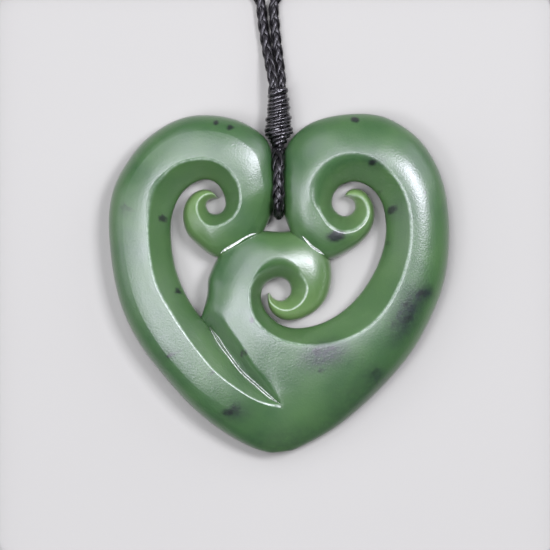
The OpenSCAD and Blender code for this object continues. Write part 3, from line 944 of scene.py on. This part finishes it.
    def band_sections(self) -> tuple[list[list[float]], list[list[float]]]:
        """The band's sections.

        Returns:
            The rows of its sections up to the seam, and of those from the seam on.
        """
        right = [self.full(row) for row in RIGHT_ROWS]
        middle = [self.full(row) for row in MIDDLE_ROWS]
        past = list(middle[1])
        past[4:6] = LEFT_ROWS[0][4:6]
        first = smooth_rows([beyond(right[::-1]), *right, past], self.steps)
        then = smooth_rows([right[-2], *middle, beyond(middle)], self.steps)
        return first, then

    def lofted(self, rings: list[list[Vector]], name: str) -> bpy.types.Object:
        """Builds a closed limb.

        Args:
            rings: The rings that it passes through.
            name: Its object's name.

        Returns:
            The limb.
        """
        bm = bmesh.new()
        skin(bm, rings)
        return as_object(bm, name, self.stone)

    def scratch(
        self, line: Sequence[Sequence[float]], name: str, stone: bpy.types.Object, plain: range,
    ) -> bpy.types.Object:
        """What the engraving wheel takes away along a line: steep walls with rounded lips.

        Args:
            line: The line's points, bottoms and half widths.
            name: The tool's name.
            stone: The stone, whose top says how high each lip lies.
            plain: Which sides of the tool leave polished stone, from 4 to 6 for the groove's floor.

        Returns:
            The closed tool.
        """
        tree = bvhtree.BVHTree.FromObject(stone, bpy.context.evaluated_depsgraph_get())
        rows = smooth_rows([beyond(line[::-1]), *line, beyond(line)], self.line_steps)
        heights: dict[tuple[int, float], float] = {}
        rings = []
        for k, row in enumerate(rows):
            a, b = rows[max(k - 1, 0)], rows[min(k + 1, len(rows) - 1)]
            across = Vector((a[1] - b[1], b[0] - a[0], 0)).normalized()
            place = Vector((row[0] * UNIT, row[1] * UNIT, 0))
            low, half = row[2] * MM, row[3] * MM
            taper = min(1.0, (k + 1) / self.taper_rows, (len(rows) - k) / self.taper_rows)
            ring = []
            for side in (-1, 1):
                part = [((half + self.lip * self.lip_top) * taper, self.sky)]
                for share, depth in self.lip_shape:
                    away = (half + self.lip * share) * taper
                    above = place + across * side * away + Vector((0, 0, self.sky))
                    hit = tree.ray_cast(above, Vector((0, 0, -1)))[0]
                    if hit is not None and hit.z > low - self.most_drop:
                        heights[side, share] = hit.z
                    top = max(heights.get((side, share), low), low + self.least_depth)
                    part.append((away, top - self.lip * depth))
                part.append((half * self.floor_share * taper, low))
                points = [place + across * side * u + Vector((0, 0, z)) for u, z in part]
                ring += points if side < 0 else points[::-1]
            rings.append(ring)
        bm = bmesh.new()
        skin(bm, rings, second=plain)
        made = as_object(bm, name, self.scored)
        made.data.materials.append(self.stone)
        return made

    def ease_joins(self, stone: bpy.types.Object) -> None:
        """Smooths the slope where the left limb and the stem join the band.

        Args:
            stone: The joined limbs.
        """
        bm = bmesh.new()
        bm.from_mesh(stone.data)
        for x, half, low, high, bottom, times in EASED:
            near = [
                v for v in bm.verts
                if abs(v.co.x / UNIT - x) < half
                and low < v.co.y / UNIT < high and v.co.z > bottom * MM
            ]
            bmesh.ops.remove_doubles(bm, verts=near, dist=self.weld)
            near = [v for v in near if v.is_valid]
            for _ in range(times):
                bmesh.ops.smooth_vert(
                    bm, verts=near, factor=self.ease,
                    use_axis_x=True, use_axis_y=True, use_axis_z=True,
                )
        bm.to_mesh(stone.data)
        bm.free()

    def recess(self) -> bpy.types.Object:
        """What is cut from the back for the loop's back leg: a round bar, drawn out downwards.

        Returns:
            The closed tool.
        """
        bm = bmesh.new()
        low, high, z = TURN_Y * MM, WHIP_LOW * MM, BEHIND_Z * MM
        bar = bmesh.ops.create_cone(
            bm, cap_ends=True, segments=self.recess_sides, depth=high - low,
            radius1=self.recess_radius, radius2=self.recess_radius,
        )["verts"]
        bmesh.ops.rotate(bm, verts=bar, cent=(0, 0, 0), matrix=Matrix.Rotation(math.pi / 2, 3, "X"))
        bmesh.ops.translate(bm, verts=bar, vec=(WHIP_X * MM, (low + high) / 2, z))
        lower = [v for v in bar if v.co.z < z - 0.01 * MM]
        bmesh.ops.translate(bm, verts=lower, vec=(0, 0, -2 * z))
        return as_object(bm, "recess", self.stone)

    def paint(
        self, mesh: bpy.types.Mesh, sections: Sequence[tuple[list[Vector], Sequence[float]]],
    ) -> None:
        """Paints as attributes a glow where the stone is thinner, a highlight on its sharp edges,
        and its inclusions.

        Args:
            mesh: The finished stone.
            sections: The points of each section and its row of the table.
        """
        tree = kdtree.KDTree(sum(len(ring) for ring, _ in sections))
        ridge_at = self.foot_points + self.edge_parts + self.bevel_parts + self.ridge_parts // 2
        marks = []
        for ring, row in sections:
            # Painted light: a highlight along sharp ridges and a glow where the crest lies low.
            sharp = min(1.0, max(0.0, 2 - row[7] / self.ridge_round))
            thin_glow = min(1.0, (self.thin_crest - row[6]) / self.thin_range)
            for k, point in enumerate(ring):
                tree.insert(point, len(marks))
                edge = sharp * max(0.0, 1 - abs(k - ridge_at) / self.edge_reach)
                marks.append((max(self.bevel_glow if k < ridge_at - 1 else 0.0, thin_glow), edge))
        tree.balance()
        values: dict[str, list[float]] = {"thin_glow": [], "edge": [], "speck": [], "cloud": []}
        for vert in mesh.vertices:
            thin_glow, edge = marks[tree.find(vert.co)[1]]
            values["thin_glow"].append(thin_glow)
            values["edge"].append(edge)
            values["speck"].append(self.stain(vert.co, SPECKS))
            values["cloud"].append(self.stain(vert.co, CLOUDS))
        for name, found in values.items():
            mesh.attributes.new(name, "FLOAT", "POINT").data.foreach_set("value", found)

    def stain(self, point: Vector, places: Sequence[Sequence[float]]) -> float:
        """How strongly a point of the stone is stained.

        Args:
            point: The point.
            places: The specks or the clouds.

        Returns:
            A number from 0 to 1.
        """
        total = 0.0
        for x, y, long, wide, turn, dark in places:
            dx, dy = point.x - x * UNIT, point.y - y * UNIT
            if max(abs(dx), abs(dy)) > self.stain_reach * max(long, wide):
                continue
            c, s = math.cos(math.radians(turn)), math.sin(math.radians(turn))
            u, v = (dx * c + dy * s) / (long * MM), (dy * c - dx * s) / (wide * MM)
            total += dark * math.exp(-(u * u + v * v) * self.stain_fade)
        return min(1.0, total)

    def build(self) -> bpy.types.Object:
        """Builds the stone from its limbs, cuts its lines and paints it.

        Returns:
            The finished stone.
        """
        left = self.left_sections()
        self.valley = [
            Vector((
                row[0] * UNIT, row[1] * UNIT,
                self.height(row[6] * MM, row[10], self.bulge(row)) * row[9] - self.flank_drop,
            ))
            for row in left[:self.groove_rows * self.steps + 1]
        ]
        before, after = self.band_sections()
        reach = (self.groove_rows + 6) * self.steps
        rings = [self.ring(row, 1, False) for row in before]
        rings += [self.ring(row, 1, k <= reach) for k, row in enumerate(after)][1:]
        limb = [self.ring(row, self.split + 1, False) for row in left]
        sections = list(zip(rings + limb, before + after[1:] + left))
        band = self.close(self.close(rings, MIDDLE_TIP)[::-1], RIGHT_TIP)
        stone = self.lofted(band, "carved_heart")
        join(stone, self.lofted(self.close(limb, LEFT_TIP), "left_limb"), Join.UNION)
        self.ease_joins(stone)
        join(stone, self.recess(), Join.CUT)
        for name, line, plain in (
            ("left_line", LEFT_LINE, range(0)),
            ("right_line", RIGHT_LINE, range(0)),
            ("long_groove", LONG_GROOVE, range(4, 7)),
        ):
            join(stone, self.scratch(line, name, stone, plain), Join.CUT)
        stone.data.set_sharp_from_angle(angle=self.sharp_angle)
        self.paint(stone.data, sections)
        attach(stone, "root")
        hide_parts("jade_heart")
        return stone


@dataclass
class PlaitedCord:
    """A round plait of eight flat waxed strands, each over two of the others and under two."""

    name: str
    finish: bpy.types.Material
    diameter: float = 2 * MM
    pitch: float = 10.4 * MM
    middle: float = 0.64 * MM
    weave: float = 0.15 * MM
    half_width: float = 0.44 * MM
    half_thickness: float = 0.22 * MM
    crossing: float = 1.6
    core_share: float = 0.85
    core_every: int = 6
    step: float = 0.3 * MM
    sides: int = 8
    swells: Sequence[tuple[float, float]] = ((0, 1.0), (1, 1.0))

    def spaced(self, points: Sequence[Vector]) -> list[Vector]:
        """Spaces a route's points evenly.

        Args:
            points: The route.

        Returns:
            Its points about a step apart, with both ends.
        """
        runs = [(b - a).length for a, b in zip(points, points[1:])]
        count = max(2, round(sum(runs) / self.step))
        found, gone, k = [points[0]], 0.0, 0
        for m in range(1, count):
            target = sum(runs) * m / count
            while gone + runs[k] < target:
                gone += runs[k]
                k += 1
            found.append(points[k].lerp(points[k + 1], (target - gone) / runs[k]))
        return [*found, points[-1]]

    def strand(
        self, bm: bmesh.types.BMesh, line: Sequence[Vector], side: int, number: int, up: Vector,
    ) -> None:
        """Adds one strand, which winds round the cord and passes over and under the others.

        Args:
            bm: The cord's mesh.
            line: The cord's middle at even steps.
            side: 1 for a strand that winds one way and -1 for the other way.
            number: Which of the four strands that wind this way it is.
            up: Where the winding's angle is counted from.
        """
        middles, outs = [], []
        grown = [read(self.swells, k * self.step, eased=True) for k in range(len(line))]
        for k, point in enumerate(line):
            ahead = heading(line, k)
            up = (up - ahead * up.dot(ahead)).normalized()
            turn = side * math.tau * k * self.step / self.pitch
            angle = turn + math.tau * number / 4
            out = up * math.cos(angle) + ahead.cross(up) * math.sin(angle)
            over = side * math.cos(2 * turn + math.pi * number + math.pi / 4)
            away = self.middle + self.weave * min(1.0, max(-1.0, self.crossing * over))
            middles.append(point + out * away * grown[k])
            outs.append(out)
        rings = []
        for k, (point, out) in enumerate(zip(middles, outs)):
            ahead = heading(middles, k)
            flat = ahead.cross(out).normalized()
            wide = flat * self.half_width * grown[k]
            rings.append(oval(point, wide, flat.cross(ahead) * self.half_thickness, self.sides))
        skin(bm, rings, len(rings) * self.step)

    def core(self, bm: bmesh.types.BMesh, line: Sequence[Vector], up: Vector) -> None:
        """Adds the dark filling that shows between the strands.

        Args:
            bm: The cord's mesh.
            line: The cord's middle at even steps.
            up: A direction that the cord never takes.
        """
        rings, half = [], self.middle * self.core_share
        thinned = [*line[:-1:self.core_every], line[-1]]
        for k, point in enumerate(thinned):
            ahead = heading(thinned, k)
            up = (up - ahead * up.dot(ahead)).normalized()
            rings.append(oval(point, up * half, ahead.cross(up) * half, self.sides))
        skin(bm, rings)

    def build(
        self, route: Sequence[Vector], up: Vector, node: str,
    ) -> tuple[bpy.types.Object, list[Vector]]:
        """Builds the cord along its route.

        Args:
            route: The cord's middle line.
            up: A direction that the route never takes.
            node: The solid that the cord replaces.

        Returns:
            The cord and its middle line at even steps.
        """
        line = self.spaced(route)
        bm = bmesh.new()
        for side in (1, -1):
            for number in range(4):
                self.strand(bm, line, side, number, up)
        self.core(bm, line, up)
        made = as_object(bm, self.name, self.finish)
        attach(made, "root")
        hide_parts(node)
        return made, line


@dataclass
class Winding:
    """Waxed thread wound round and round in touching turns, over a dark core."""

    name: str
    finish: bpy.types.Material
    outline: Sequence[tuple[float, float]]
    start: Vector
    along: Vector
    out: Vector
    threads: Sequence[tuple[float, float]] = ((0, 0.6 * MM), (1, 0.6 * MM))
    wobble: float = 0.15 * MM
    wobble_shape: tuple[float, float] = (1.8, -0.5)
    drift: float = 0.24 * MM
    drift_rate: float = 0.37
    drift_seed: float = 4.2
    slant: float = 0.4 * MM
    slant_turn: float = 0.4
    swell_rate: float = 0.3
    swell_jump: float = 3.7
    swell_seed: float = 1.7
    fill: float = 1.06
    unevenness: float = 0.34
    flatness: float = 1.08
    points_per_turn: int = 28
    sides: int = 8
    core_inset: float = 0.1 * MM
    core_depth: float = 0.6
    core_sides: int = 24

    def turns(self, bm: bmesh.types.BMesh) -> None:
        """Adds the thread, whose turns lie a little unevenly, as hand-wound ones do.

        Args:
            bm: The winding's mesh.
        """
        side = self.along.cross(self.out)
        length = self.outline[-1][0]
        line, thick, climb, turn = [], [], 0.0, 0.0
        while climb < length:
            thread = read(self.threads, climb)
            lean = self.slant * math.sin(turn + self.slant_turn)
            lean += self.drift * noise.noise(Vector((turn * self.drift_rate, self.drift_seed, 0)))
            height = min(max(climb + lean, thread / 2), length - thread / 2)
            jump = math.floor(turn / math.tau) * self.swell_jump
            swell = noise.noise(Vector((jump, turn * self.swell_rate, self.swell_seed)))
            high, middle = self.wobble_shape
            away = read(self.outline, height) - thread / 2 + self.wobble * (high * swell + middle)
            outwards = self.out * math.cos(turn) + side * math.sin(turn)
            line.append(self.start + self.along * height + outwards * away)
            thick.append(thread / 2 * (self.fill + self.unevenness * swell))
            climb += thread / self.points_per_turn
            turn += math.tau / self.points_per_turn
        rings = []
        for k, (point, half) in enumerate(zip(line, thick)):
            ahead = heading(line, k)
            across = (self.along - ahead * self.along.dot(ahead)).normalized()
            wide = across * self.flatness * half
            rings.append(oval(point, wide, ahead.cross(across) * half, self.sides))
        skin(bm, rings, length_of(line))

    def core(self, bm: bmesh.types.BMesh) -> None:
        """Adds what the thread is wound on, spun from its own outline.

        Args:
            bm: The winding's mesh.
        """
        low, high = self.core_inset, self.outline[-1][0] - self.core_inset
        rows = [(low, 0.0)]
        for height, radius in self.outline:
            inside = radius - self.core_depth * read(self.threads, height)
            rows.append((min(max(height, low), high), inside))
        rows.append((high, 0.0))
        verts = [bm.verts.new(self.start + self.along * h + self.out * r) for h, r in rows]
        edges = [bm.edges.new(pair) for pair in zip(verts, verts[1:])]
        bmesh.ops.spin(
            bm, geom=verts + edges, cent=self.start, axis=self.along, dvec=(0, 0, 0),
            angle=math.tau, steps=self.core_sides, use_merge=True, use_duplicate=False,
        )
        loose = [v for v in bm.verts if v.is_boundary or not v.link_faces]
        bmesh.ops.remove_doubles(bm, verts=loose, dist=1e-7)
        near = [v for v in bm.verts if abs((v.co - self.start).dot(self.out)) < 1e-6]
        bmesh.ops.remove_doubles(bm, verts=near, dist=1e-7)
        # The spin's faces come in another order each run, so all are sorted along a skew line.
        skew = Vector((1.0, 0.1, 0.01))
        bm.faces.sort(key=lambda face: face.calc_center_median().dot(skew))

    def build(self, node: str) -> bpy.types.Object:
        """Builds the turns and the core.

        Args:
            node: The solid that they replace.

        Returns:
            The wound piece.
        """
        bm = bmesh.new()
        self.turns(bm)
        self.core(bm)
        made = as_object(bm, self.name, self.finish)
        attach(made, "root")
        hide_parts(node)
        return made


@dataclass
class Cordage:
    """The hanging loop, the neck cord's two strands, the whipping and the back joint."""

    cord: bpy.types.Material
    thread: bpy.types.Material
    corner: float = 4.0
    corner_parts: int = 9
    curve_parts: int = 8
    lies_at: float = 1.0
    left_turn: float = -3.31
    right_turn: float = -1.06
    left: float = -54.4
    right: float = 52.9
    top: float = 55.9
    bottom: float = -52.25
    knot_length: float = 8.0
    knot_radius: float = 1.5

    def arc(self, x: float, y: float, a: float, b: float) -> list[Vector]:
        """A bend of the neck cord on the surface.

        Args:
            x: Its middle's x in millimetres.
            y: Its middle's y in millimetres.
            a: The angle where it starts, in degrees.
            b: The angle where it ends, in degrees.

        Returns:
            Its points in millimetres.
        """
        parts, r = self.corner_parts, self.corner
        turns = [math.radians(a + (b - a) * k / parts) for k in range(parts + 1)]
        return [Vector((x + r * math.cos(t), y + r * math.sin(t), self.lies_at)) for t in turns]

    def curve(self, points: Sequence[Sequence[float]]) -> list[Vector]:
        """A smooth curve through given points, in millimetres."""
        rows = [beyond(points[::-1]), *points, beyond(points)]
        return [Vector(row) for row in smooth_rows(rows, self.curve_parts)]

    def neck_route(self, lead: Sequence[Sequence[float]], side: int, turn_x: float) -> list[Vector]:
        """The route from the whipping round the heart to the back joint.

        Args:
            lead: The given points above the whipping.
            side: -1 for the left strand and 1 for the right one.
            turn_x: Where the strand turns away outside the view.

        Returns:
            The route's points in metres.
        """
        top, low = self.top - self.corner, self.bottom + self.corner
        far = self.left if side < 0 else self.right
        near_x, away_x = turn_x + side * self.corner, far - side * self.corner
        out = 0 if side > 0 else 180
        middle = (self.left + self.right) / 2
        points = self.curve([*lead, (turn_x, top, self.lies_at)])
        points += self.arc(near_x, top, 180 - out, 90)[1:]
        points += self.arc(away_x, top, 90, out)
        points += self.arc(away_x, low, out, -90 if side > 0 else 270)
        points.append(Vector((middle + side * self.knot_length / 2, self.bottom, self.lies_at)))
        return [p * MM for p in points]

    def loop_route(self) -> list[Vector]:
        """The route over the valley, down the hole and back up behind the stone.

        Returns:
            The route's points in metres.
        """
        points = self.curve(LOOP_OVER)
        for a in range(90, 271, 10):
            y = TURN_Y + TURN_RADIUS * (1 + math.cos(math.radians(a)))
            z = BEHIND_Z + TURN_RADIUS * (1 + math.sin(math.radians(a)))
            points.append(Vector((WHIP_X, y, z)))
        points.append(Vector((WHIP_X, WHIP_LOW, BEHIND_Z)))
        return [p * MM for p in points]

    def build(self) -> None:
        """Builds every piece of cord and thread."""
        middle = (self.left + self.right) / 2
        barrel = self.knot_radius * MM - Winding.wobble
        whip = Winding(
            "wound_whipping", self.thread, [(a * MM, b * MM) for a, b in WHIP_OUTLINE],
            Vector((WHIP_X, WHIP_LOW, WHIP_Z)) * MM, Vector((0, 1, 0)), Vector((0, 0, 1)),
            [(a * MM, b * MM) for a, b in WHIP_THREAD],
        ).build("whipping")
        knot = Winding(
            "back_joint", self.thread,
            [(0, barrel), (self.knot_length * MM, barrel)],
            Vector((middle - self.knot_length / 2, self.bottom, self.knot_radius)) * MM,
            Vector((1, 0, 0)), Vector((0, 0, 1)),
        ).build("back_knot")
        for name, lead, side, turn_x in (
            ("neck_cord_left", LEFT_LEAD, -1, self.left_turn),
            ("neck_cord_right", RIGHT_LEAD, 1, self.right_turn),
        ):
            route = self.neck_route(lead, side, turn_x)
            plait = PlaitedCord(f"plaited_{name}", self.cord)
            made, line = plait.build(route, Vector((0, 0, 1)), name)
        route = self.loop_route()
        swells = [(a * MM, b) for a, b in LOOP_SWELLS]
        plait = PlaitedCord("plaited_cord_loop", self.cord, swells=swells)
        made, line = plait.build(route, Vector((1, 0, 0)), "cord_loop")


@dataclass
class Studio:
    """The pale floor, the soft lights and the camera."""

    floor: str = "a2a39a"
    floor_roughness: float = 0.8
    floor_half: float = 1.5
    tint: str = "f2efff"
    air: str = "f4f5f7"
    air_strength: float = 0.04
    sensor: float = 36.0
    camera_height: float = 1.2
    camera_sees: tuple[float, float] = (0.05, 20)
    matched_height: float = 3.6 * MM

    def camera(self) -> None:
        """Places the camera straight above, matched to the photograph at the widest line."""
        data = bpy.data.cameras.new("camera")
        data.sensor_width = self.sensor
        data.sensor_fit = "HORIZONTAL"
        data.lens = self.sensor * self.camera_height / (PHOTO_SIZE * UNIT)
        data.clip_start, data.clip_end = self.camera_sees
        made = bpy.data.objects.new("camera", data)
        x, y = PHOTO_CENTRE
        made.location = (x * UNIT, y * UNIT, self.camera_height + self.matched_height)
        bpy.context.scene.collection.objects.link(made)
        bpy.context.scene.camera = made

    def light(self, name: str, tilt: float, bearing: float, size: float, power: float) -> None:
        """Adds a soft square light a metre away that faces the stone.

        Args:
            name: The light's name.
            tilt: How far from straight above it stands, in degrees.
            bearing: Which way it stands, in degrees from +X towards +Y.
            size: Its width and height.
            power: Its power in watts.
        """
        data = bpy.data.lights.new(name, "AREA")
        data.shape = "SQUARE"
        data.size = size
        data.energy = power
        data.color = linear(self.tint)[:3]
        made = bpy.data.objects.new(name, data)
        t, b = math.radians(tilt), math.radians(bearing)
        made.location = Vector((math.sin(t) * math.cos(b), math.sin(t) * math.sin(b), math.cos(t)))
        made.rotation_euler = (-made.location).to_track_quat("-Z", "Y").to_euler()
        bpy.context.scene.collection.objects.link(made)

    def build(self) -> None:
        """Builds the floor and the lights."""
        bm = bmesh.new()
        bmesh.ops.create_grid(bm, x_segments=1, y_segments=1, size=self.floor_half)
        material = bpy.data.materials.new("matt_paper_floor")
        material.use_nodes = True
        surface = material.node_tree.nodes["Principled BSDF"]
        surface.inputs["Base Color"].default_value = linear(self.floor)
        surface.inputs["Roughness"].default_value = self.floor_roughness
        floor = as_object(bm, "floor", material)
        for name, tilt, bearing, size, power in (
            ("left_softbox", 10, 170, 0.3, 5.0),
            ("right_softbox", 30, 30, 0.3, 10.3),
            ("front_softbox", 30, 207, 0.3, 3.4),
            ("low_left_softbox", 66, 180, 0.6, 2.3),
            ("low_right_softbox", 66, 36, 0.6, 2.7),
            ("back_softbox", 52, 120, 0.5, 2.0),
            ("high_back_softbox", 27, 105, 0.3, 1.9),
            ("left_wide_softbox", 38, 185, 0.35, 1.2),
        ):
            self.light(name, tilt, bearing, size, power)
        world = bpy.data.worlds.new("studio")
        world.use_nodes = True
        air = world.node_tree.nodes["Background"].inputs
        air["Color"].default_value = linear(self.air)
        air["Strength"].default_value = self.air_strength
        bpy.context.scene.world = world
        bpy.context.scene.view_settings.view_transform = "Standard"


def main() -> None:
    """Builds the pendant piece by piece."""
    logging.basicConfig(level=logging.INFO, format="%(name)s: %(message)s")
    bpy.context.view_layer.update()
    studio = Studio()
    studio.camera()
    plait = WaxedThread(
        "waxed_plait", dark="040404", wax_and_sheen="242225", roughness=0.32, strands_around=9,
        relief=0.35, gap_shade=0.5, bare=0.4, coat=0.1,
    )
    Cordage(plait.material(), WaxedThread().material()).build()
    stone = Carving(Nephrite().material(), CutLine().material()).build()
    LOG.info("stone has %d faces", len(stone.data.polygons))
    studio.build()


if __name__ == "__main__":
    main()
